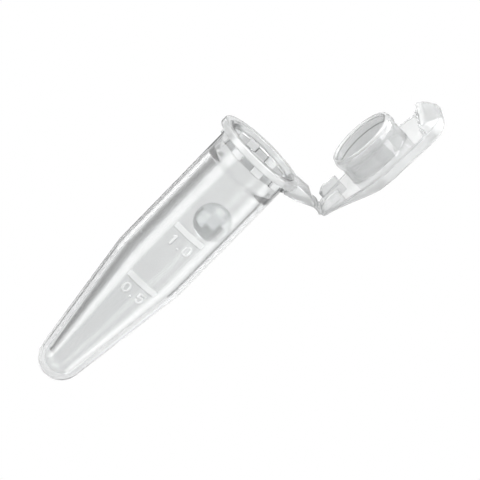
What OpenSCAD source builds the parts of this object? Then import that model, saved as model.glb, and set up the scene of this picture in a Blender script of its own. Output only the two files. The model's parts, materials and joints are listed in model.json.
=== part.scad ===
// Microcentrifuge tube of 1.5 mL with a hinged snap lid and a loose glass bead.
// Origin: centre of the mouth, in the plane of the rim's top face.
// +Z runs along the tube and out of the mouth, +X points at the hinge.
// The lid stands open at rest. All sizes are in millimetres and degrees.

/* [Tube] */
// Length from the rim's top face to the outside of the tip
tube_length = 41; // [40:0.1:42]
// Outer radius of the straight barrel
barrel_r = 5.3; // [5.25:0.01:5.35]
// Thickness of the wall, square to its surface
wall = 0.9; // [0.85:0.01:0.95]
// Half angle of the conical base
cone_angle = 7.6; // [7.5:0.1:7.7]
// Outer radius of the round tip
tip_r = 3.05; // [3:0.01:3.1]

/* [Mouth] */
// Radius of the cylindrical land just inside the mouth
mouth_r = 5; // [4.98:0.01:5.02]
// Depth of that land below the rim's top face
mouth_land = 1.7; // [1.5:0.1:1.8]
// Outer radius of the rim flange
flange_r = 6.45; // [6.4:0.05:6.5]
// Thickness of the rim flange
flange_t = 1; // [0.9:0.05:1.05]
// Outer radius of the toothed locking collar
collar_r = 5.6; // [5.5:0.05:5.7]
// Depth of the collar's teeth below the rim's top face
collar_depth = 2.1; // [1.9:0.1:2.3]
// Number of teeth on the collar
collar_teeth = 10; // [8:2:12]

/* [Hinge] */
// Distance from the tube's axis to the hinge axis
hinge_x = 10; // [9.9:0.05:10.1]
// Depth of the hinge axis below the rim's top face
hinge_depth = 0.64; // [0.6:0.02:0.7]
// Radius of the folded hinge film on its axis
knuckle_r = 0.4; // [0.35:0.01:0.42]
// Half width of the tube's hinge tab
tab_half_w = 2.3; // [2.1:0.1:2.4]
// Angle that the lid stands open, from closed
lid_open = 95.6; // [90:0.1:110]

/* [Lid] */
// Outer radius of the lid's disc
lid_r = 6.3; // [6.2:0.05:6.4]
// Thickness of the disc
lid_t = 1.5; // [1.4:0.05:1.6]
// Length of the plug below the disc
plug_length = 3.9; // [3.7:0.1:4]
// Outer radius of the plug's neck
plug_r = 4.5; // [4.4:0.01:4.5]
// Inner radius of the plug
plug_bore_r = 4.1; // [4:0.01:4.1]
// Outer radius of the sealing bead round the plug
seal_r = 4.7; // [4.65:0.01:4.7]
// Distance from the tube's axis to the thumb tab's far end
thumb_reach = 9.8; // [9.7:0.1:10]
// Half width of the thumb tab
thumb_half_w = 5; // [4.9:0.05:5.1]
// Radius of the thumb tab's outer corners
thumb_corner = 3; // [2.8:0.1:3.2]

/* [Glass bead] */
// Diameter of the bead
bead_d = 5; // [4.9:0.1:5]
// Depth of the bead's centre below the rim's top face
bead_depth = 11.2; // [10:0.1:14]

/* [Volume marks] */
// Heights of the marks above the tip, lower one first
mark_heights = [18.7, 27.5]; // [18:0.1:28]
// Length of a mark round the wall
mark_length = 4.7; // [4:0.1:5]
// How far the marks stand proud of the wall
mark_proud = 0.1; // [0.05:0.01:0.15]

/* [Hidden] */
$fn = 96;
gap = 0.05;                 // running gap between the lid and the tube
over = 0.2;                 // overshoot of cutting shapes
bore_r = barrel_r - wall / cos(cone_angle);
tip_z = tip_r - tube_length;               // centre of the round tip
cone_z = tip_z + (barrel_r - tip_r / cos(cone_angle)) / tan(cone_angle); // top of the cone
seat_r = 4.8;               // bore where the sealing bead comes to rest
seat_z = -3.5;
neck_z = -4.8;              // below this the bore is plain
tooth_turn = 360 / collar_teeth;
gap_arc = tooth_turn - 17;  // a tooth covers 17 degrees
collar_root_r = barrel_r + 0.02; // floor of the gaps at their foot
collar_top_r = barrel_r + 0.2;   // and where it flares into the flange
tab_x = flange_r - 1;       // the hinge tab starts inside the flange's edge
tab_top_x = 8.2;            // end of the tab's flat top
tab_web_x = 9.3;            // end of the tab's chamfer
tab_depth = 2.1;
web_half_t = 0.15;
lid_z = gap;                // underside of the closed lid
seal_z = -2.9;              // middle height of the sealing bead
seal_half_h = 0.5;
plug_round = 0.35;          // rounding at the plug's free end
tongue_half_w = 3.15;
tongue_x = 10.3;            // outer end of the hinge tongue
tongue_t = 0.75;
rib_w = 0.6;
rib_z = -1.2;               // lower edge of the closed lid's ribs
rib_x = [6.25, 9.4];
lip_in_x = 6.85;            // inner face of the thumb tab's lip
lip_z = -1.05;              // crest of the lip
latch_teeth_count = 5;
latch_pitch = 1.9;
latch_w = 0.7;
latch_reach = 0.2;
latch_h = 0.6;
mark_turn = -95;            // direction of the marks' middle, about the axis
mark_h = 0.85;
digit_h = 1.5;
digit_w = 1.1;
digit_step = 1.17;          // round the wall, from the point to a digit's middle
stroke = 0.28;
digit_drop = 1.72;          // from a mark's middle to its number's middle
bead_r = bead_d / 2;
bead_off = bore_r - bead_r - 0.09;
bead_turn = -15.8;          // direction of the bead's offset from the axis

// Outer radius of the wall at a height above the tip
function wall_r(height) =
    min(barrel_r, tip_r / cos(cone_angle) + (height - tip_r) * tan(cone_angle));

// Angle about the axis that covers a length round the wall, at a height above the tip
function turn_of(length, height) = length / wall_r(height) * 180 / PI;

// Cone that leaves a round tip of some radius smoothly and widens to another radius
module base_cone(round_r, top_r) {
    low = tip_z - round_r * sin(cone_angle);
    translate([0, 0, low]) cylinder(r1 = round_r * cos(cone_angle), r2 = top_r, h = cone_z - low);
    translate([0, 0, tip_z]) sphere(r = round_r);
}

// Solid of revolution with the tube's outer shape below the flange, grown by some amount
module tube_outside(grow) {
    translate([0, 0, cone_z]) cylinder(r = barrel_r + grow, h = -cone_z);
    base_cone(tip_r + grow, barrel_r + grow);
}

// Everything the wall encloses, up through the mouth
module tube_inside() {
    translate([0, 0, -mouth_land]) cylinder(r = mouth_r, h = mouth_land + over);
    translate([0, 0, seat_z]) cylinder(r1 = seat_r, r2 = mouth_r, h = -mouth_land - seat_z);
    translate([0, 0, neck_z]) cylinder(r1 = bore_r, r2 = seat_r, h = seat_z - neck_z);
    translate([0, 0, cone_z]) cylinder(r = bore_r, h = neck_z - cone_z);
    base_cone(tip_r - wall, bore_r);
}

// Keeps what lies between two heights
module slab(low, high) {
    translate([-20, -20, low]) cube([40, 40, high - low]);
}

module ring(r_out, r_in, low, high) {
    translate([0, 0, low]) difference() {
        cylinder(r = r_out, h = high - low);
        translate([0, 0, -over]) cylinder(r = r_in, h = high - low + 2 * over);
    }
}

// Side view outline, drawn in X and Z, made solid across Y
module across(half_w) {
    translate([0, half_w, 0]) rotate([90, 0, 0]) linear_extrude(2 * half_w) children();
}

// Wedge of space about the axis, from one angle to another
module sector(from, to, r, low, high) {
    translate([0, 0, low]) rotate([0, 0, from]) rotate_extrude(angle = to - from)
        square([r, high - low]);
}

// Outer lip of the rim, whose underside rests on a rack
module rim_flange() {
    color("gainsboro") ring(flange_r, collar_r, -flange_t, 0);
}

// Thick ring round the mouth, cut into teeth below the flange
module locking_collar() {
    color("gainsboro") difference() {
        translate([0, 0, -collar_depth]) cylinder(r = collar_r, h = collar_depth);
        tube_inside();
        for (i = [0 : collar_teeth - 1]) {
            middle = i * tooth_turn;
            difference() {
                sector(middle - gap_arc / 2, middle + gap_arc / 2, flange_r,
                    -collar_depth - over, -flange_t);
                translate([0, 0, -collar_depth - 2 * over])
                    cylinder(r1 = collar_root_r, r2 = collar_top_r, h = collar_depth - flange_t + 3 * over);
            }
        }
    }
}

module barrel() {
    color("whitesmoke") difference() {
        translate([0, 0, cone_z]) cylinder(r = barrel_r, h = -collar_depth - cone_z);
        tube_inside();
    }
}

module conical_base() {
    color("whitesmoke") difference() {
        intersection() {
            tube_outside(0);
            slab(-tube_length - over, cone_z);
        }
        tube_inside();
    }
}

module hinge_tab() {
    color("gainsboro") difference() {
        across(tab_half_w) polygon([[tab_x, 0], [tab_top_x, 0], [tab_web_x, web_half_t - hinge_depth],
            [tab_web_x, -web_half_t - hinge_depth], [tab_x, -tab_depth]]);
        translate([0, 0, -tab_depth - over]) cylinder(r = flange_r, h = tab_depth + 2 * over);
    }
}

// Folded film on the hinge axis, with the flat web that joins it to the tab
module hinge_knuckle() {
    color("white") {
        translate([hinge_x, 0, -hinge_depth]) rotate([90, 0, 0])
            cylinder(r = knuckle_r, h = 2 * tab_half_w, center = true);
        across(tab_half_w) translate([tab_web_x, -web_half_t - hinge_depth])
            square([hinge_x - tab_web_x, 2 * web_half_t]);
    }
}

module volume_marks() {
    color("white") difference() {
        intersection() {
            tube_outside(mark_proud);
            union() for (h = mark_heights) {
                half_arc = turn_of(mark_length / 2, h);
                sector(mark_turn - half_arc, mark_turn + half_arc, flange_r,
                    h - tube_length - mark_h / 2, h - tube_length + mark_h / 2);
            }
        }
        tube_outside(0);
    }
}

// Upright slot shape with round ends
module stadium(w, h) {
    square([w, h - w], center = true);
    for (side = [-1, 1]) translate([0, side * (h - w) / 2]) circle(d = w);
}

module digit_zero() {
    difference() {
        stadium(digit_w, digit_h);
        stadium(digit_w - 2 * stroke, digit_h - 2 * stroke);
    }
}

module digit_one() {
    translate([-stroke / 2, -digit_h / 2]) square([stroke, digit_h]);
    translate([-1.6 * stroke, digit_h / 2 - 1.4 * stroke]) square([1.6 * stroke, stroke]);
}

module digit_five() {
    bowl_y = digit_w / 2 - digit_h / 2;
    difference() {
        translate([0, bowl_y]) circle(d = digit_w);
        translate([0, bowl_y]) circle(d = digit_w - 2 * stroke);
        translate([-digit_w, bowl_y - stroke / 2]) square([digit_w, stroke]);
    }
    translate([-digit_w / 2, bowl_y + stroke / 2]) square([stroke, digit_h / 2 - bowl_y - stroke / 2]);
    translate([-digit_w / 2, digit_h / 2 - stroke]) square([digit_w, stroke]);
}

// One character laid on the wall at an angle beside the marks' middle
module on_wall(side_angle, height) {
    rotate([0, 0, mark_turn + side_angle]) translate([0, 0, height - tube_length])
        rotate([90, 0, 90]) linear_extrude(flange_r) children();
}

module volume_numerals() {
    color("white") difference() {
        intersection() {
            tube_outside(mark_proud);
            union() for (i = [0, 1]) {
                middle = mark_heights[i] - digit_drop;
                digit_turn = turn_of(digit_step, middle);
                on_wall(-digit_turn, middle) if (i == 0) digit_zero(); else digit_one();
                on_wall(0, middle - digit_h / 2 + stroke / 2) circle(d = 1.3 * stroke);
                on_wall(digit_turn, middle) if (i == 0) digit_five(); else digit_zero();
            }
        }
        tube_outside(0);
    }
}

// Turns the lid from closed to where it stands open at rest
module at_rest() {
    translate([hinge_x, 0, -hinge_depth]) rotate([0, lid_open, 0])
        translate([-hinge_x, 0, hinge_depth]) children();
}

module lid_disc() {
    color("gainsboro") at_rest() translate([0, 0, lid_z]) cylinder(r = lid_r, h = lid_t);
}

module lid_plug() {
    neck = lid_z - plug_length + plug_round;
    middle = (plug_r + plug_bore_r) / 2;
    color("gainsboro") at_rest() {
        ring(plug_r, plug_bore_r, neck, lid_z);
        ring(middle + plug_round / 3, middle - plug_round / 3, neck - plug_round, neck);
    }
}

// Rounded ring that seals inside the mouth
module seal_ring() {
    bulge = seal_r - plug_r;
    color("gainsboro") at_rest() translate([0, 0, seal_z]) rotate_extrude()
        polygon([[plug_r, -seal_half_h], for (a = [-75 : 15 : 75])
            [plug_r + bulge * cos(a), seal_half_h * sin(a)], [plug_r, seal_half_h]]);
}

// Planform of the tongue, from the disc's edge to the hinge
module tongue_plan() {
    difference() {
        polygon([[3, lid_r - 0.8], [tongue_x - 1, tongue_half_w], [tongue_x, tongue_half_w - 1],
            [tongue_x, 1 - tongue_half_w], [tongue_x - 1, -tongue_half_w], [3, 0.8 - lid_r]]);
        circle(r = lid_r);
    }
}

module hinge_tongue() {
    color("gainsboro") at_rest() difference() {
        union() {
            translate([0, 0, lid_z]) linear_extrude(tongue_t) tongue_plan();
            across(tab_half_w) polygon([[hinge_x - 0.3, lid_z], [tongue_x, lid_z],
                [tongue_x, -hinge_depth], [hinge_x - 0.3, -hinge_depth]]);
        }
        translate([hinge_x, 0, -hinge_depth]) rotate([90, 0, 0])
            cylinder(r = knuckle_r + gap, h = 4 * tab_half_w, center = true);
        translate([0, -tab_half_w - over, -hinge_depth - over])
            cube([hinge_x, 2 * (tab_half_w + over), hinge_depth + over - web_half_t]);
    }
}

module tongue_ribs() {
    color("gainsboro") at_rest() for (side = [-1, 1])
        translate([rib_x[0], side * (tongue_half_w - rib_w / 2) - rib_w / 2, rib_z])
            cube([rib_x[1] - rib_x[0], rib_w, lid_z - rib_z]);
}

// Planform of the thumb tab: round corners, with straight sides that touch the disc's edge
module thumb_plan() {
    corner = [thumb_corner - thumb_reach, thumb_half_w - thumb_corner];
    side_turn = atan2(corner[1], corner[0]) - acos((lid_r - thumb_corner) / norm(corner));
    normal = [cos(side_turn), sin(side_turn)];
    side = [lid_r * normal, corner + thumb_corner * normal];
    difference() {
        union() {
            polygon([side[0], side[1], corner, [-thumb_reach, corner[1]], [-thumb_reach, -corner[1]],
                [corner[0], -corner[1]], [side[1][0], -side[1][1]], [side[0][0], -side[0][1]]]);
            for (flip = [-1, 1]) translate([corner[0], flip * corner[1]]) circle(r = thumb_corner);
        }
        circle(r = lid_r);
    }
}

module thumb_tab() {
    color("gainsboro") at_rest() translate([0, 0, lid_z]) linear_extrude(lid_t) thumb_plan();
}

module thumb_lip() {
    color("gainsboro") at_rest() intersection() {
        across(thumb_half_w) polygon([[-lip_in_x, lid_z], [-lip_in_x, lip_z + 0.4],
            [-lip_in_x - 0.4, lip_z], [-lip_in_x - 0.9, lip_z], [-thumb_reach, lid_z]]);
        translate([0, 0, lip_z - over]) linear_extrude(lid_z - lip_z + over) thumb_plan();
    }
}

module latch_teeth() {
    first = -(latch_teeth_count - 1) / 2 * latch_pitch;
    color("white") at_rest() for (i = [0 : latch_teeth_count - 1])
        translate([-lip_in_x, first + i * latch_pitch - latch_w / 2, lid_z - latch_h])
            cube([latch_reach, latch_w, latch_h]);
}

module glass_bead() {
    color("lightcyan") rotate([0, 0, bead_turn]) translate([bead_off, 0, -bead_depth]) sphere(r = bead_r);
}

rim_flange();
locking_collar();
barrel();
conical_base();
hinge_tab();
hinge_knuckle();
volume_marks();
volume_numerals();
lid_disc();
lid_plug();
seal_ring();
hinge_tongue();
tongue_ribs();
thumb_tab();
thumb_lip();
latch_teeth();
glass_bead();
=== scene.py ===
"""A 1.5 mL microcentrifuge tube of natural polypropylene, lid open, with a loose glass bead inside.

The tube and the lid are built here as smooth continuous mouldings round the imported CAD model.
Sizes inside the mesh functions are in millimetres. Every finished mesh is in metres, in the
CAD's frame.
"""

import json
import math

import bmesh
import bpy
import numpy as np
from mathutils import Matrix, Vector


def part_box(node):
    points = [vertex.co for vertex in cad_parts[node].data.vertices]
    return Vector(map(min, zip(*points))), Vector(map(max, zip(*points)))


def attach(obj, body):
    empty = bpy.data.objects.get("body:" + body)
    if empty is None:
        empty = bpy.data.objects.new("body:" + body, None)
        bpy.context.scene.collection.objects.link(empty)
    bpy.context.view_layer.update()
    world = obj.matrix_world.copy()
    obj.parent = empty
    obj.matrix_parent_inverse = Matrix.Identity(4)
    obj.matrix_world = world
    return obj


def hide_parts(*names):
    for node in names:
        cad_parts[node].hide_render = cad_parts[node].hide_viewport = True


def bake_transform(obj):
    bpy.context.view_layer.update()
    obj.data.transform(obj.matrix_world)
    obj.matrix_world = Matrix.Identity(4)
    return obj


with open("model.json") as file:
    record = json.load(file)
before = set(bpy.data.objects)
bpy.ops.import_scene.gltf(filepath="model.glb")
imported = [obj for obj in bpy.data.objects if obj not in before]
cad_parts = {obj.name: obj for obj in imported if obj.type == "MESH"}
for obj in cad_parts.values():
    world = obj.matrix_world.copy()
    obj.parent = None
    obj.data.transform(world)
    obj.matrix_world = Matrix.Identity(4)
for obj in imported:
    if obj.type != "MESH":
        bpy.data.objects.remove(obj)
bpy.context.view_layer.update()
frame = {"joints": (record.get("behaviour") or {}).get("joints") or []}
MM = 0.001


def box_mm(node):
    """Lowest and highest corners of a CAD node, in millimetres."""
    low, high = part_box(node)
    return Vector(low) / MM, Vector(high) / MM


# --- Sizes read from the CAD model, in millimetres ---
RIM_LOW, RIM_HIGH = box_mm("rim_flange")
FLANGE_R = RIM_HIGH.x
FLANGE_T = RIM_HIGH.z - RIM_LOW.z
COLLAR_LOW, COLLAR_HIGH = box_mm("locking_collar")
COLLAR_R = COLLAR_HIGH.y
COLLAR_Z = COLLAR_LOW.z
BARREL_LOW, BARREL_HIGH = box_mm("barrel")
BARREL_R = BARREL_HIGH.y
CONE_Z = BARREL_LOW.z
TIP_Z = box_mm("conical_base")[0].z
TAB_HALF_W = box_mm("hinge_tab")[1].y
HINGE = next(j for j in frame["joints"] if j["name"] == "lid_hinge")
HINGE_AT = Vector(HINGE["pos_m"]) / MM
LID_OPEN = -math.radians(HINGE["range_deg"][0])
BEAD_LOW, BEAD_HIGH = box_mm("glass_bead")
ON_SIDE = Matrix(((1, 0, 0, 0), (0, 0, 1, 0), (0, 1, 0, 0), (0, 0, 0, 1)))

# --- The wall and the mouth, heights from the flange's top face ---
WALL = 0.9
TIP_R = 3.05
CONE_ANGLE = math.radians(7.6)
BORE_R = BARREL_R - WALL / math.cos(CONE_ANGLE)
MOUTH_R = 5.0
MOUTH_LAND = 1.7
SEAT_R, SEAT_Z = 4.8, -3.5
NECK_Z = -4.8
RIM_EDGE = 0.22
COLLAR_TEETH = 10
TOOTH_ARC = math.radians(17)
TOOTH_EDGE = math.radians(0.9)

# --- The lid, in its closed place: X runs from the thumb tab to the hinge ---
LID_R = 6.3
LID_T = 1.5
LID_Z = 0.05
PLUG_LENGTH = 3.9
PLUG_R, PLUG_BORE_R = 4.5, 4.1
SEAL_R, SEAL_Z = 4.7, -2.9
THUMB_REACH, THUMB_HALF_W, THUMB_CORNER = 9.8, 5.0, 3.0
TONGUE_X, TONGUE_HALF_W = 10.3, 3.15
LIP_X, LIP_Z = 6.85, -1.05
RIB_START, RIB_END, RIB_HALF_T = 6.53, 9.1, 0.28
LATCH_TEETH, LATCH_PITCH = 5, 1.9

# --- The volume marks: height above the tip and the number under each ---
MARKS = ((18.7, "0.5"), (27.5, "1.0"))
MARK_TURN = math.radians(-95)
MARK_LENGTH, MARK_H = 4.7, 0.85
MARK_PROUD, MARK_SOFT = 0.1, 0.05
DIGIT_H, DIGIT_W, STROKE = 1.5, 1.1, 0.28
DIGIT_STEP, DIGIT_DROP = 1.17, 1.72

# --- Mesh density and looks ---
COLUMNS = 540
SHARP_ANGLE = math.radians(35)
BEVEL_ANGLE = math.radians(30)
# The tube counts as solid beyond this radius, over this band, and is less clear there.
SOLID_FROM, SOLID_BAND = 5.36, 0.12
SOLID_LESS_CLEAR = 0.22
SOLID_TINT = (0.84, 0.85, 0.85, 1)
# Painted shade: the floors of the collar's gaps are tinted darker, in place of the dark surroundings
# seen through them.
GAP_PAINTED_SHADE = (0.42, 0.43, 0.43, 1)
# Painted shade: the bead's rim darkens towards this colour by viewing angle, in place of the dark ring
# from its surroundings.
BEAD_RIM_PAINTED_SHADE = (0.3, 0.31, 0.31, 1)


# --- Mesh helpers ---
def smoothstep(low, high, x):
    """0 below low and 1 above high, with a soft change between."""
    t = np.clip((x - low) / (high - low), 0, 1)
    return t * t * (3 - 2 * t)


def arc(centre, r, start, end, steps):
    """Points of an arc in the R-Z plane, angles in degrees from +R towards +Z."""
    angles = np.radians(np.linspace(start, end, steps + 1))
    return [(centre[0] + r * math.cos(a), centre[1] + r * math.sin(a)) for a in angles]


def line(start, end, step):
    """Points from start up to but not including end, about a step apart."""
    count = max(1, math.ceil(math.dist(start, end) / step))
    start, way = np.array(start), np.array(end) - np.array(start)
    return [tuple(start + way * i / count) for i in range(count)]


def finish_mesh(mesh):
    """Smooth shading with creases only where faces meet at a steep angle."""
    mesh.shade_smooth()
    mesh.set_sharp_from_angle(angle=SHARP_ANGLE)
    mesh.update()


def to_object(name, mesh):
    """Puts a mesh into the scene as an object."""
    piece = bpy.data.objects.new(name, mesh)
    bpy.context.scene.collection.objects.link(piece)
    return piece


def mesh_object(name, vertices, faces, matrix=Matrix.Identity(4)):
    """A new object from points in millimetres, placed by a matrix that is in millimetres too."""
    mesh = bpy.data.meshes.new(name)
    mesh.from_pydata([tuple(v) for v in vertices], [], faces)
    mesh.transform(matrix)
    mesh.transform(Matrix.Scale(MM, 4))
    bm = bmesh.new()
    bm.from_mesh(mesh)
    bmesh.ops.recalc_face_normals(bm, faces=bm.faces)
    bm.to_mesh(mesh)
    bm.free()
    finish_mesh(mesh)
    return to_object(name, mesh)


def revolve(profile, columns, radius=None):
    """Vertices and faces of a profile turned about Z.

    The profile starts and ends on the axis, or is a closed loop off it. radius(index, angles) may
    replace the radius of one profile point.
    """
    turns = np.linspace(0, 2 * math.pi, columns, endpoint=False)
    vertices, rings = [], []
    for i, (r, z) in enumerate(profile):
        if r < 1e-6:
            rings.append([len(vertices)])
            vertices.append((0, 0, z))
            continue
        radii = np.full(columns, r) if radius is None else radius(i, turns)
        rings.append(list(range(len(vertices), len(vertices) + columns)))
        vertices += list(zip(radii * np.cos(turns), radii * np.sin(turns), np.full(columns, z)))
    on_axis = len(rings[0]) == 1
    pairs = list(zip(rings, rings[1:])) + ([] if on_axis else [(rings[-1], rings[0])])
    faces = []
    for a, b in pairs:
        for k in range(columns):
            n = (k + 1) % columns
            if len(a) == 1:
                faces.append((a[0], b[n], b[k]))
            elif len(b) == 1:
                faces.append((a[k], a[n], b[0]))
            else:
                faces.append((a[k], a[n], b[n], b[k]))
    return vertices, faces


def join_solids(name, base, others):
    """One closed moulding from overlapping closed pieces."""
    for other in others:
        modifier = base.modifiers.new("join", "BOOLEAN")
        modifier.operation = "UNION"
        modifier.solver = "EXACT"
        modifier.object = other
    graph = bpy.context.evaluated_depsgraph_get()
    mesh = bpy.data.meshes.new_from_object(base.evaluated_get(graph))
    bpy.data.objects.remove(base)
    for other in others:
        bpy.data.objects.remove(other)
    finish_mesh(mesh)
    return to_object(name, mesh)


def rounded(piece, width, segments):
    """Bevels a piece's edges, in place. The width is in millimetres."""
    modifier = piece.modifiers.new("round", "BEVEL")
    modifier.width = width * MM
    modifier.segments = segments
    modifier.limit_method = "ANGLE"
    modifier.angle_limit = BEVEL_ANGLE
    graph = bpy.context.evaluated_depsgraph_get()
    mesh = bpy.data.meshes.new_from_object(piece.evaluated_get(graph))
    piece.modifiers.clear()
    piece.data = mesh
    return piece


def extruded(name, outline, low, high, matrix=Matrix.Identity(4)):
    """A flat outline in X and Y made solid between two heights."""
    n = len(outline)
    vertices = [(x, y, z) for z in (low, high) for x, y in outline]
    ends = [tuple(range(n))[::-1], tuple(range(n, 2 * n))]
    sides = [(k, (k + 1) % n, n + (k + 1) % n, n + k) for k in range(n)]
    return mesh_object(name, vertices, ends + sides, matrix)


# --- The marks' shape, as distance from their strokes ---
def near_path(u, v, points):
    """Distance of each (u, v) from a path of straight stretches."""
    best = np.full(np.broadcast(u, v).shape, np.inf)
    for (x0, y0), (x1, y1) in zip(points, points[1:]):
        dx, dy = x1 - x0, y1 - y0
        t = np.clip(((u - x0) * dx + (v - y0) * dy) / max(dx * dx + dy * dy, 1e-9), 0, 1)
        best = np.minimum(best, np.hypot(u - x0 - t * dx, v - y0 - t * dy))
    return best


def digit_path(digit):
    """Centre line of one plain digit round its own middle."""
    w, h = (DIGIT_W - STROKE) / 2, (DIGIT_H - STROKE) / 2
    if digit == "0":
        return arc((0, h - w), w, 0, 180, 10) + arc((0, w - h), w, 180, 360, 10) + [(w, h - w)]
    if digit == "1":
        return [(-w * 0.7, h * 0.6), (0, h), (0, -h)]
    return [(w, h), (-w, h), (-w, h * 0.1)] + arc((0, w - h), w, 120, -150, 12)


def mark_height(turn, z):
    """How far the volume marks stand out of the wall, for angles about the axis at one height."""
    total = np.zeros_like(turn)
    away = (turn - MARK_TURN + math.pi) % (2 * math.pi) - math.pi
    for height, text in MARKS:
        middle = TIP_Z + height
        if not -DIGIT_DROP - DIGIT_H < z - middle < MARK_H:
            continue
        u = away * outer_r(z)
        bar = np.maximum(abs(u) - MARK_LENGTH / 2, abs(z - middle) - MARK_H / 2)
        total = np.maximum(total, 1 - smoothstep(-MARK_SOFT, MARK_SOFT, bar))
        v = z - middle + DIGIT_DROP
        shapes = [near_path(u + DIGIT_STEP, v, digit_path(text[0])),
                  near_path(u - DIGIT_STEP, v, digit_path(text[2])),
                  near_path(u, v + (DIGIT_H - STROKE) / 2, [(0, 0), (0, 0)])]
        for distance in shapes:
            stroke = 1 - smoothstep(STROKE / 2 - MARK_SOFT, STROKE / 2 + MARK_SOFT, distance)
            total = np.maximum(total, stroke)
    return MARK_PROUD * total


# --- The tube ---
def outer_r(z):
    """Radius of the tube's plain outer face at a height above its round tip."""
    above = z - TIP_Z - TIP_R
    return min(TIP_R / math.cos(CONE_ANGLE) + above * math.tan(CONE_ANGLE), BARREL_R)


def tooth_height(turn, z):
    """How far the collar's teeth stand out of the barrel."""
    pitch = 2 * math.pi / COLLAR_TEETH
    from_middle = abs((turn + pitch) % pitch - pitch / 2)
    across = 1 - smoothstep(TOOTH_ARC / 2 - TOOTH_EDGE, TOOTH_ARC / 2 + TOOTH_EDGE, from_middle)
    return (COLLAR_R - BARREL_R) * across * smoothstep(COLLAR_Z - 0.02, COLLAR_Z + 0.12, z)


def outside_profile():
    """The tube's outer face from the tip to the flange's underside, as heights with their radii."""
    lean = math.degrees(CONE_ANGLE)
    points = arc((0, TIP_Z + TIP_R), TIP_R, -90, -lean, 22)
    fine, coarse = 0.055, 0.5
    zones = [(points[-1][1], coarse)]
    for height, _ in MARKS:
        zones.append((TIP_Z + height - DIGIT_DROP - DIGIT_H / 2 - 0.1, fine))
        zones.append((TIP_Z + height + MARK_H / 2 + 0.1, coarse))
    zones += [(COLLAR_Z - 0.1, 0.035), (COLLAR_Z + 0.2, 0.15), (-FLANGE_T, 0)]
    for (low, step), (high, _) in zip(zones, zones[1:]):
        skip = 1 if low == zones[0][0] else 0
        points += [(outer_r(z), z) for z in np.arange(low, high, step)[skip:]]
    return [(max(r, 0), z) for r, z in points]


def inside_profile():
    """From the flange's underside round its edges into the mouth, the taper and the bore to the tip."""
    edge = RIM_EDGE
    rim = [(COLLAR_R + 0.03, -FLANGE_T)]
    rim += arc((FLANGE_R - edge, -FLANGE_T + edge), edge, -90, 0, 5)
    rim += arc((FLANGE_R - edge, -edge), edge, 0, 90, 5)
    rim += arc((MOUTH_R + edge, -edge), edge, 90, 180, 5)
    rim += line((MOUTH_R, -0.3), (MOUTH_R, -MOUTH_LAND), 0.3)
    rim += line((MOUTH_R, -MOUTH_LAND), (SEAT_R, SEAT_Z), 0.3)
    for share in np.linspace(0, 1, 16, endpoint=False):
        taper = (SEAT_R - BORE_R) * float(smoothstep(0, 1, share))
        rim.append((SEAT_R - taper, SEAT_Z + (NECK_Z - SEAT_Z) * share))
    rim += line((BORE_R, NECK_Z), (BORE_R, CONE_Z), 0.8)
    tip_in = TIP_R - WALL
    inner_arc = arc((0, TIP_Z + TIP_R), tip_in, -math.degrees(CONE_ANGLE), -90, 18)
    return rim + line((BORE_R, CONE_Z), inner_arc[0], 0.8) + inner_arc


def build_tube():
    """The tube moulding without its hinge tab: one skin with the marks and the collar's teeth."""
    outside = outside_profile()
    profile = outside + inside_profile()
    profile[0] = (0, profile[0][1])
    profile[-1] = (0, profile[-1][1])

    def radius(index, turns):
        r, z = profile[index]
        if index >= len(outside):
            return np.full(len(turns), r)
        return r + mark_height(turns, z) + tooth_height(turns, z)

    vertices, faces = revolve(profile, COLUMNS, radius)
    return mesh_object("tube_moulding", vertices, faces)


def frost_marks(piece):
    """Gives the raised faces of the marks the second material."""
    for face in piece.data.polygons:
        x, y, z = face.center / MM
        stands_out = math.hypot(x, y) > outer_r(z) + MARK_PROUD * 0.55
        if CONE_Z - 20 < z < COLLAR_Z - 0.5 and stands_out:
            face.material_index = 1


# --- The lid ---
def hull_of_circles(circles):
    """Outline round a set of circles, each (x, y, r), anticlockwise."""
    turns = np.linspace(0, 2 * math.pi, 180, endpoint=False)
    points = sorted({(round(x + r * math.cos(a), 5), round(y + r * math.sin(a), 5))
                     for x, y, r in circles for a in turns})

    def chain(ordered):
        kept = []
        for p in ordered:
            while len(kept) > 1 and ((kept[-1][0] - kept[-2][0]) * (p[1] - kept[-2][1])
                                     <= (kept[-1][1] - kept[-2][1]) * (p[0] - kept[-2][0])):
                kept.pop()
            kept.append(p)
        return kept[:-1]

    return chain(points) + chain(points[::-1])


def reach(outline, centre, turns):
    """Distance from the centre to a convex outline, along each angle."""
    found = np.full(len(turns), np.inf)
    dx, dy = np.cos(turns), np.sin(turns)
    for (x0, y0), (x1, y1) in zip(outline, outline[1:] + outline[:1]):
        ex, ey = x1 - x0, y1 - y0
        px, py = x0 - centre[0], y0 - centre[1]
        denominator = dx * ey - dy * ex
        safe = np.where(abs(denominator) < 1e-12, 1e-12, denominator)
        along = (px * ey - py * ex) / safe
        share = (px * dy - py * dx) / safe
        hit = (along > 0) & (share >= -1e-6) & (share <= 1 + 1e-6)
        found = np.where(hit, np.minimum(found, along), found)
    return found


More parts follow.
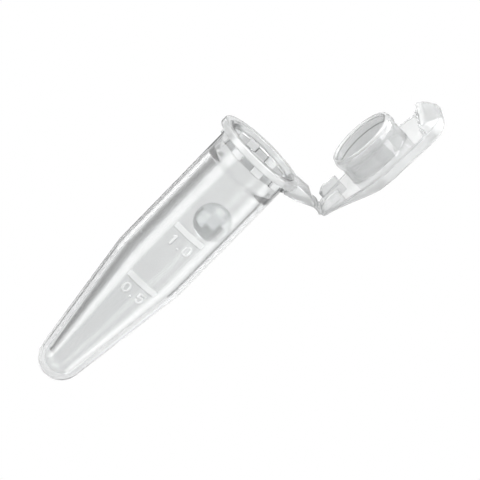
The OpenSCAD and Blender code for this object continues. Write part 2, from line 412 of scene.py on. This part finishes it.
def pillow(name, outline, centre, low, high, edge, matrix, columns=240, rows=14):
    """A slab with a convex outline and rounded edges, between two surfaces given for x and y."""
    turns = np.linspace(0, 2 * math.pi, columns, endpoint=False)
    far = reach(outline, centre, turns)
    shares = np.linspace(0, 1, rows + 1)[1:]
    bends = np.radians(np.linspace(-90, 90, 11))[1:-1]
    steps = [("low", s) for s in shares] + [("bend", b) for b in bends]
    steps += [("high", s) for s in shares[::-1]]
    vertices = [(*centre, float(low(*centre)))]
    for kind, value in steps:
        if kind == "bend":
            r = far - edge + edge * math.cos(value)
        else:
            r = (far - edge) * value
        x, y = centre[0] + r * np.cos(turns), centre[1] + r * np.sin(turns)
        bottom, top = low(x, y) + 0 * x, high(x, y) + 0 * x
        if kind == "bend":
            half = np.minimum(edge, (top - bottom) / 2)
            lift = half * (1 + math.sin(value)) if value < 0 else half * (1 - math.sin(value))
            z = bottom + lift if value < 0 else top - lift
        else:
            z = bottom if kind == "low" else top
        vertices += list(zip(x, y, z))
    vertices.append((*centre, float(high(*centre))))
    faces, last = [], len(vertices) - 1
    for k in range(columns):
        n = (k + 1) % columns
        faces.append((0, 1 + n, 1 + k))
        faces.append((last, last - columns + k, last - columns + n))
        for row in range(len(steps) - 1):
            a, b = 1 + row * columns, 1 + (row + 1) * columns
            faces.append((a + k, a + n, b + n, b + k))
    return mesh_object(name, vertices, faces, matrix)


def level(height):
    """A level surface for a pillow."""
    return lambda x, y: height + 0 * x


def open_lid_matrix():
    """Carries the lid from its closed place to where it stands open at rest."""
    there = Matrix.Translation(HINGE_AT)
    return there @ Matrix.Rotation(LID_OPEN, 4, "Y") @ there.inverted()


def plug_profile():
    """Closed loop round the plug's wall, seal ring and rounded end."""
    end = LID_Z - PLUG_LENGTH
    middle, half = (PLUG_R + PLUG_BORE_R) / 2, (PLUG_R - PLUG_BORE_R) / 2
    root = LID_Z + 0.3
    bulge, half_h = SEAL_R - PLUG_R, 0.55
    ring = [(PLUG_R + bulge * math.cos(a), SEAL_Z + half_h * math.sin(a))
            for a in np.radians(np.linspace(80, -80, 17))]
    outer = line((PLUG_R + 0.18, root), (PLUG_R + 0.02, LID_Z - 0.25), 0.1)
    outer += line((PLUG_R + 0.02, LID_Z - 0.25), (PLUG_R, SEAL_Z + half_h + 0.1), 0.3) + ring
    outer += arc((middle, end + half), half, 0, -180, 10)
    inner = line((PLUG_BORE_R, end + half + 0.1), (PLUG_BORE_R - 0.02, LID_Z - 0.2), 0.3)
    return outer + inner + [(PLUG_BORE_R - 0.15, LID_Z + 0.02), (PLUG_BORE_R - 0.2, root)]


def build_lid():
    """The lid moulding: plate, plug, thumb lip, two ribs and the latch teeth, as it stands open."""
    place = open_lid_matrix()
    thumb = (THUMB_CORNER - THUMB_REACH, THUMB_HALF_W - THUMB_CORNER)
    tongue_corner = 0.8
    tongue = (TONGUE_X - 0.3 - tongue_corner, TONGUE_HALF_W - tongue_corner)
    outline = hull_of_circles([(0, 0, LID_R)]
                              + [(thumb[0], side * thumb[1], THUMB_CORNER) for side in (-1, 1)]
                              + [(tongue[0], side * tongue[1], tongue_corner)
                                 for side in (-1, 1)])
    thin = 0.4

    def back(x, y):
        """Outer face: flat, then sloping down towards the hinge and a little at the thumb."""
        hinge_side = smoothstep(1.5, tongue[0] + 0.4, x) ** 0.9
        thumb_side = smoothstep(-8.4, -THUMB_REACH - 0.6, x)
        return LID_Z + LID_T - (LID_T - thin) * hinge_side - 0.55 * thumb_side

    plate = pillow("lid_plate", outline, (0, 0), level(LID_Z), back, 0.3, place, rows=26)

    plug_v, plug_f = revolve(plug_profile(), 240)
    plug = mesh_object("lid_plug_shell", plug_v, plug_f, place)

    inset = 0.12
    lip_outline = [(x + inset * (1 if x < 0 else 0), y) for x, y in outline if x < -LIP_X]
    lip_outline = [(min(x, -LIP_X), y * 0.97) for x, y in lip_outline]
    crest = -LIP_X - 0.75

    def lip_low(x, y):
        fall = smoothstep(crest, -THUMB_REACH - 0.1, x)
        rise = smoothstep(-LIP_X + 0.1, crest + 0.2, x)
        return LID_Z - (LID_Z - LIP_Z) * (0.72 + 0.28 * rise) * (1 - fall) - 0.02

    lip = pillow("lid_lip", lip_outline, (-LIP_X - 1.4, 0), lip_low, level(LID_Z + 0.4), 0.3, place,
                 rows=12)

    def rib_low(x, y):
        return LID_Z - 1.25 * (1 - smoothstep(8.2, 9.6, x) * 0.45)

    parts = [plug, lip]
    for side in (-1, 1):
        middle = side * (TONGUE_HALF_W - 0.3)
        rib_outline = hull_of_circles([(x, middle, RIB_HALF_T) for x in (RIB_START, RIB_END)])
        parts.append(pillow(f"rib_{side}", rib_outline, (7.5, middle), rib_low, level(LID_Z + 0.25),
                            0.14, place, columns=72, rows=4))
    for i in range(LATCH_TEETH):
        y = (i - (LATCH_TEETH - 1) / 2) * LATCH_PITCH
        tooth = hull_of_circles([(-LIP_X + dx, y + dy, 0.14) for dy in (-0.2, 0.2)
                                 for dx in (-0.1, 0.02)])
        parts.append(pillow(f"latch_{i}", tooth, (-LIP_X - 0.04, y), level(LID_Z - 0.6),
                            level(LID_Z + 0.2), 0.08, place, columns=36, rows=3))
    return join_solids("lid_moulding", plate, parts)


def sort_lid_faces(piece):
    """Gives the lid's solid sections the second material and the inside of the plug the third, a greyer
    one that paints shade into the plug's hollow.
    """
    closed = open_lid_matrix().inverted()
    for face in piece.data.polygons:
        x, y, z = closed @ (face.center / MM)
        r = math.hypot(x, y)
        thumb = x < 0.2 - LIP_X
        plate_edge = z > LID_Z + 0.3 and r > LID_R - 0.5
        plug_end = z < LID_Z - PLUG_LENGTH + 0.4
        if thumb or plate_edge or plug_end:
            face.material_index = 1
        # The inside of the plug takes the third material, which paints shade into the hollow.
        elif r < PLUG_BORE_R + 0.05 and z < LID_Z + 0.1:
            face.material_index = 2


# --- The hinge ---
def build_hinge_tab():
    """Wedge on the flange that carries the living hinge, drawn from the side."""
    side = [(COLLAR_R - 0.25, -0.25), (FLANGE_R - 0.3, 0), (8.2, 0), (9.0, -0.36), (9.4, -0.5),
            (9.4, -0.78), (8.4, -1.15), (7.0, -1.7), (COLLAR_R - 0.25, -2.05)]
    tab = extruded("tab_wedge", side, -TAB_HALF_W, TAB_HALF_W, ON_SIDE)
    return rounded(tab, 0.14, 3)


def build_hinge_film():
    """The thin film that bends between the tab and the lid's tongue, its two ends inside them."""
    half_w, half_t = TAB_HALF_W - 0.1, 0.13
    hx, hz = HINGE_AT.x, HINGE_AT.z
    path = [(hx - 0.75, hz), (hx - 0.45, hz)]
    path += [(hx - 0.1 + 0.62 * math.sin(a), hz - 0.1 + 0.1 * math.cos(a) - 0.16 * math.sin(a))
             for a in np.radians(np.linspace(0, 80, 7))]
    path += [(hx + 0.78, hz - 0.02), (hx + 0.86, hz + 0.5)]
    centre = np.array(path)
    along = np.gradient(centre, axis=0)
    along /= np.linalg.norm(along, axis=1)[:, None]
    normal = np.stack([-along[:, 1], along[:, 0]], axis=1)
    upper, lower = centre + normal * half_t, centre - normal * half_t
    outline = [tuple(p) for p in upper] + [tuple(p) for p in lower[::-1]]
    n = len(outline)
    slices = np.linspace(-half_w, half_w, 9)
    vertices = [(x, y, z) for z in slices for x, y in outline]
    faces = [tuple(range(n)), tuple(range((len(slices) - 1) * n, len(slices) * n))[::-1]]
    for s in range(len(slices) - 1):
        faces += [(s * n + k, (s + 1) * n + k, (s + 1) * n + (k + 1) % n, s * n + (k + 1) % n)
                  for k in range(n)]
    return rounded(mesh_object("hinge_film", vertices, faces, ON_SIDE), 0.07, 2)


# --- The glass bead ---
def build_bead():
    """A solid glass ball, swept from a half circle."""
    centre, r = (BEAD_LOW + BEAD_HIGH) / 2, (BEAD_HIGH.x - BEAD_LOW.x) / 2
    vertices, faces = revolve(arc((0, 0), r, -90, 90, 96), 192)
    return mesh_object("glass_ball", vertices, faces, Matrix.Translation(centre))


# --- Materials ---
def new_material(name):
    """An empty node material with its output, and a maker of linked nodes."""
    material = bpy.data.materials.new(name)
    material.use_nodes = True
    tree = material.node_tree
    tree.nodes.clear()
    output = tree.nodes.new("ShaderNodeOutputMaterial")

    def add(kind, inputs=None, **settings):
        made = tree.nodes.new("ShaderNode" + kind)
        for key, value in settings.items():
            setattr(made, key, value)
        for key, value in (inputs or {}).items():
            if isinstance(value, bpy.types.NodeSocket):
                tree.links.new(value, made.inputs[key])
            else:
                made.inputs[key].default_value = value
        return made

    return material, tree, output, add


def to_range(add, value, low, high):
    """A 0 to 1 value stretched over a range."""
    return add("MapRange", {"Value": value, "To Min": low, "To Max": high}).outputs[0]


def ramp(add, value, low, high):
    """0 below one size and 1 above the other, both in millimetres."""
    sizes = {"Value": value, "From Min": low * MM, "From Max": high * MM}
    return add("MapRange", sizes).outputs[0]


def solid_sections_and_gap_shade(add, place, tint):
    """A mask of the flange, tab and collar teeth, and the tint made milkier there, with painted shade
    added on the collar's gap floors.
    """
    parts = add("SeparateXYZ", {"Vector": place})
    flat = add("CombineXYZ", {"X": parts.outputs["X"], "Y": parts.outputs["Y"]})
    radius = add("VectorMath", {0: flat.outputs[0]}, operation="LENGTH").outputs["Value"]
    solid = ramp(add, radius, SOLID_FROM, SOLID_FROM + SOLID_BAND)
    # Painted shade: the barrel's outer face above the collar's foot, that is the floors of the gaps
    # between the teeth, is tinted darker.
    outside = ramp(add, radius, BARREL_R - 0.1, BARREL_R - 0.04)
    at_collar = ramp(add, parts.outputs["Z"], COLLAR_Z, COLLAR_Z + 0.1)
    gap_shade_mask = add("Math", {0: outside, 1: at_collar}, operation="MULTIPLY").outputs[0]
    thin = add("MixRGB", {"Fac": gap_shade_mask, "Color1": tint, "Color2": GAP_PAINTED_SHADE}).outputs[0]
    return solid, add("MixRGB", {"Fac": solid, "Color1": thin, "Color2": SOLID_TINT}).outputs[0]


def polypropylene(name, clear, roughness, grey, solids_and_gap_shade=False):
    """Natural polypropylene: clear with a haze, moulding flow marks and fine tool marks.

    For the tube, the last argument makes its solid sections milkier than the thin wall, as they are in
    life, and paints shade on the floors of its collar's gaps.
    """
    material, tree, output, add = new_material(name)
    place = add("TexCoord").outputs["Object"]
    stretched = add("Mapping", {"Vector": place, "Scale": (1, 1, 0.22)}).outputs[0]
    flow = add("TexNoise", {"Vector": stretched, "Scale": 260, "Detail": 3,
                            "Roughness": 0.5}).outputs["Fac"]
    grain = add("TexNoise", {"Vector": place, "Scale": 4200, "Detail": 2}).outputs["Fac"]
    cloud = add("TexNoise", {"Vector": place, "Scale": 90, "Detail": 2}).outputs["Fac"]
    flow_bump = add("Bump", {"Height": flow, "Strength": 0.10, "Distance": 0.00012})
    fine_bump = add("Bump", {"Height": grain, "Strength": 0.02, "Distance": 0.000004,
                             "Normal": flow_bump.outputs[0]})
    tint = add("MixRGB", {"Fac": cloud, "Color1": (grey - 0.012, grey, grey, 1),
                          "Color2": (grey + 0.012, grey + 0.016, grey + 0.016, 1)}).outputs[0]
    if solids_and_gap_shade:
        solid, tint = solid_sections_and_gap_shade(add, place, tint)
        clear = to_range(add, solid, clear, clear - SOLID_LESS_CLEAR)
    shader = add("BsdfPrincipled", {"Base Color": tint, "IOR": 1.49, "Transmission Weight": clear,
                                    "Normal": fine_bump.outputs[0],
                                    "Roughness": to_range(add, cloud, roughness, roughness + 0.02)})
    tree.links.new(shader.outputs[0], output.inputs["Surface"])
    return material


def bead_glass(name):
    """Clear soda glass with tiny seeds and a faintly uneven fire-polished face, with painted shade
    darkening its rim by viewing angle.
    """
    material, tree, output, add = new_material(name)
    place = add("TexCoord").outputs["Object"]
    uneven = add("TexNoise", {"Vector": place, "Scale": 500, "Detail": 1}).outputs["Fac"]
    seeds = add("TexVoronoi", {"Vector": place, "Scale": 1800}).outputs["Distance"]
    bump = add("Bump", {"Height": uneven, "Strength": 0.02, "Distance": 0.00002})
    rough = add("MapRange", {"Value": seeds, "From Min": 0.02, "From Max": 0.08,
                             "To Min": 0.08, "To Max": 0.0})
    tint = add("MixRGB", {"Fac": uneven, "Color1": (0.8, 0.82, 0.82, 1),
                          "Color2": (0.84, 0.86, 0.86, 1)})
    # Painted shade: the base colour darkens towards the bead's rim as the face turns away from the
    # viewer.
    edge = add("LayerWeight", {"Blend": 0.35}).outputs["Facing"]
    rim = add("MapRange", {"Value": edge, "From Min": 0.45, "From Max": 0.95}).outputs[0]
    shade = add("MixRGB", {"Fac": rim, "Color1": tint.outputs[0], "Color2": BEAD_RIM_PAINTED_SHADE})
    shader = add("BsdfPrincipled", {"Base Color": shade.outputs[0], "Roughness": rough.outputs[0],
                                    "IOR": 1.52, "Transmission Weight": 1.0,
                                    "Normal": bump.outputs[0]})
    tree.links.new(shader.outputs[0], output.inputs["Surface"])
    return material


def glowing(name, edge, middle):
    """A studio surface that shines by itself, changing softly from its side edges to its middle."""
    material, tree, output, add = new_material(name)
    across = add("SeparateXYZ", {"Vector": add("TexCoord").outputs["UV"]}).outputs["X"]
    angle = add("Math", {0: across, 1: math.pi}, operation="MULTIPLY")
    arch = add("Math", {0: angle.outputs[0]}, operation="SINE")
    broad = add("Math", {0: arch.outputs[0], 1: 0.6}, operation="POWER")
    strength = to_range(add, broad.outputs[0], edge, middle)
    shader = add("Emission", {"Color": (1, 1, 1, 1), "Strength": strength})
    tree.links.new(shader.outputs[0], output.inputs["Surface"])
    return material


# --- Putting it together ---
# The tube's plastic makes its solid sections milkier and paints shade on the floors of the collar's
# gaps.
tube_plastic = polypropylene("clear_polypropylene", 0.9, 0.0, 0.84, solids_and_gap_shade=True)
mark_plastic = polypropylene("frosted_polypropylene", 0.66, 0.25, 0.93)
lid_plastic = polypropylene("lid_polypropylene", 0.74, 0.02, 0.87)
solid_plastic = polypropylene("solid_polypropylene", 0.62, 0.03, 0.84)
# Painted shade: a greyer plastic for the inside of the lid's plug, standing for the shade in its hollow.
plug_hollow_shade_plastic = polypropylene("plug_hollow_painted_shade", 0.72, 0.02, 0.62)

wedge = build_hinge_tab()
tube = join_solids("tube_moulding", build_tube(), [wedge])
tube.data.materials.append(tube_plastic)
tube.data.materials.append(mark_plastic)
frost_marks(tube)
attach(tube, "tube")
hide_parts("rim_flange", "locking_collar", "barrel", "conical_base", "hinge_tab",
            "volume_marks", "volume_numerals")

lid = build_lid()
for plastic in (lid_plastic, solid_plastic, plug_hollow_shade_plastic):
    lid.data.materials.append(plastic)
sort_lid_faces(lid)
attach(lid, "lid")
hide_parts("lid_disc", "lid_plug", "seal_ring", "hinge_tongue", "tongue_ribs", "thumb_tab",
            "thumb_lip", "latch_teeth")

film = build_hinge_film()
film.data.materials.append(lid_plastic)
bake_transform(film)
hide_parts("hinge_knuckle")

ball = build_bead()
ball.data.materials.append(bead_glass("bead_glass"))
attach(ball, "bead")
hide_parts("glass_bead")

# --- Studio and camera ---
AZIMUTH, ELEVATION = math.radians(-15.8), math.radians(12.7)
BACK = Vector((math.sin(AZIMUTH) * math.cos(ELEVATION), -math.cos(AZIMUTH) * math.cos(ELEVATION),
               math.sin(ELEVATION)))
ACROSS = Vector((math.cos(AZIMUTH), math.sin(AZIMUTH), 0))
ROLL = math.radians(44.5)
CAMERA_DISTANCE = 0.5
LENS = 295.5
AIM = Vector((0.00503, -0.00374, -0.0099))
FLOOR_Z, FLOOR_R = -0.35, 12.0
TOP_LIGHT_Z, TOP_LIGHT_HALF = 0.45, 0.35
TOP_LIGHT_EDGE, TOP_LIGHT_GLOW = 2.25, 4.5
WORLD_GLOW = 0.3

# name, first and last turn, distance, foot, top, glow at the side edges and in the middle
STUDIO = (("left_bright_panel", -52, -31, 1.0, FLOOR_Z, 0.25, 1.0, 1.5),
          ("left_grey_panel", -30, -8, 1.0, FLOOR_Z, 0.25, 0.8, 0.0),
          ("right_bright_panel", 11, 41, 1.0, FLOOR_Z, 0.25, 1.0, 1.35),
          ("right_grey_panel", 42, 58, 1.0, FLOOR_Z, 0.25, 0.9, 0.25),
          ("left_strip_light", -148, -114, 0.45, -0.33, 0.3, 0.5, 4.5),
          ("right_strip_light", 78, 110, 0.45, -0.33, 0.3, 0.6, 4.0))


def sheet_light(name, corners, edge, middle, seen=False):
    """A flat studio sheet from four corners: left foot, right foot, right top, left top.

    One that isn't seen still lights the object and shows in it.
    """
    piece = mesh_object(name, [c / MM for c in corners], [(0, 1, 2, 3)])
    uv = piece.data.uv_layers.new(name="across")
    for loop in piece.data.loops:
        uv.data[loop.index].uv = ((0, 0), (1, 0), (1, 1), (0, 1))[loop.vertex_index]
    piece.data.materials.append(glowing(name + "_glow", edge, middle))
    piece.visible_camera = seen
    return piece


def round_about(turn, distance, height):
    """A point round the tube, turned to the right from straight behind it as the camera sees it."""
    away = -Vector((BACK.x, BACK.y, 0)).normalized()
    turn = math.radians(turn)
    return (away * math.cos(turn) + ACROSS * math.sin(turn)) * distance + Vector((0, 0, height))


def level_sheet(half, height):
    """Corners of a square sheet that lies level over the middle."""
    return [Vector((x * half, y * half, height)) for x, y in ((-1, -1), (1, -1), (1, 1), (-1, 1))]


sheet_light("floor", level_sheet(FLOOR_R, FLOOR_Z), 1.0, 1.0, seen=True)
for name, first, last, distance, foot, top, edge, middle in STUDIO:
    corners = [round_about(first, distance, foot), round_about(last, distance, foot),
               round_about(last, distance, top), round_about(first, distance, top)]
    sheet_light(name, corners, edge, middle)
sheet_light("top_light", level_sheet(TOP_LIGHT_HALF, TOP_LIGHT_Z), TOP_LIGHT_EDGE, TOP_LIGHT_GLOW)

scene = bpy.context.scene
world = bpy.data.worlds.new("studio")
world.use_nodes = True
background = world.node_tree.nodes["Background"]
background.inputs["Color"].default_value = (1, 1, 1, 1)
background.inputs["Strength"].default_value = WORLD_GLOW
scene.world = world
scene.view_settings.view_transform = "Standard"

camera_data = bpy.data.cameras.new("camera")
camera_data.lens = LENS
camera_data.sensor_width = 36
camera_data.clip_start, camera_data.clip_end = 0.01, 20
camera = bpy.data.objects.new("camera", camera_data)
scene.collection.objects.link(camera)
upright = BACK.to_track_quat("Z", "Y")
camera.rotation_mode = "QUATERNION"
camera.rotation_quaternion = upright @ Matrix.Rotation(ROLL, 4, "Z").to_quaternion()
camera.location = AIM + BACK * CAMERA_DISTANCE
scene.camera = camera
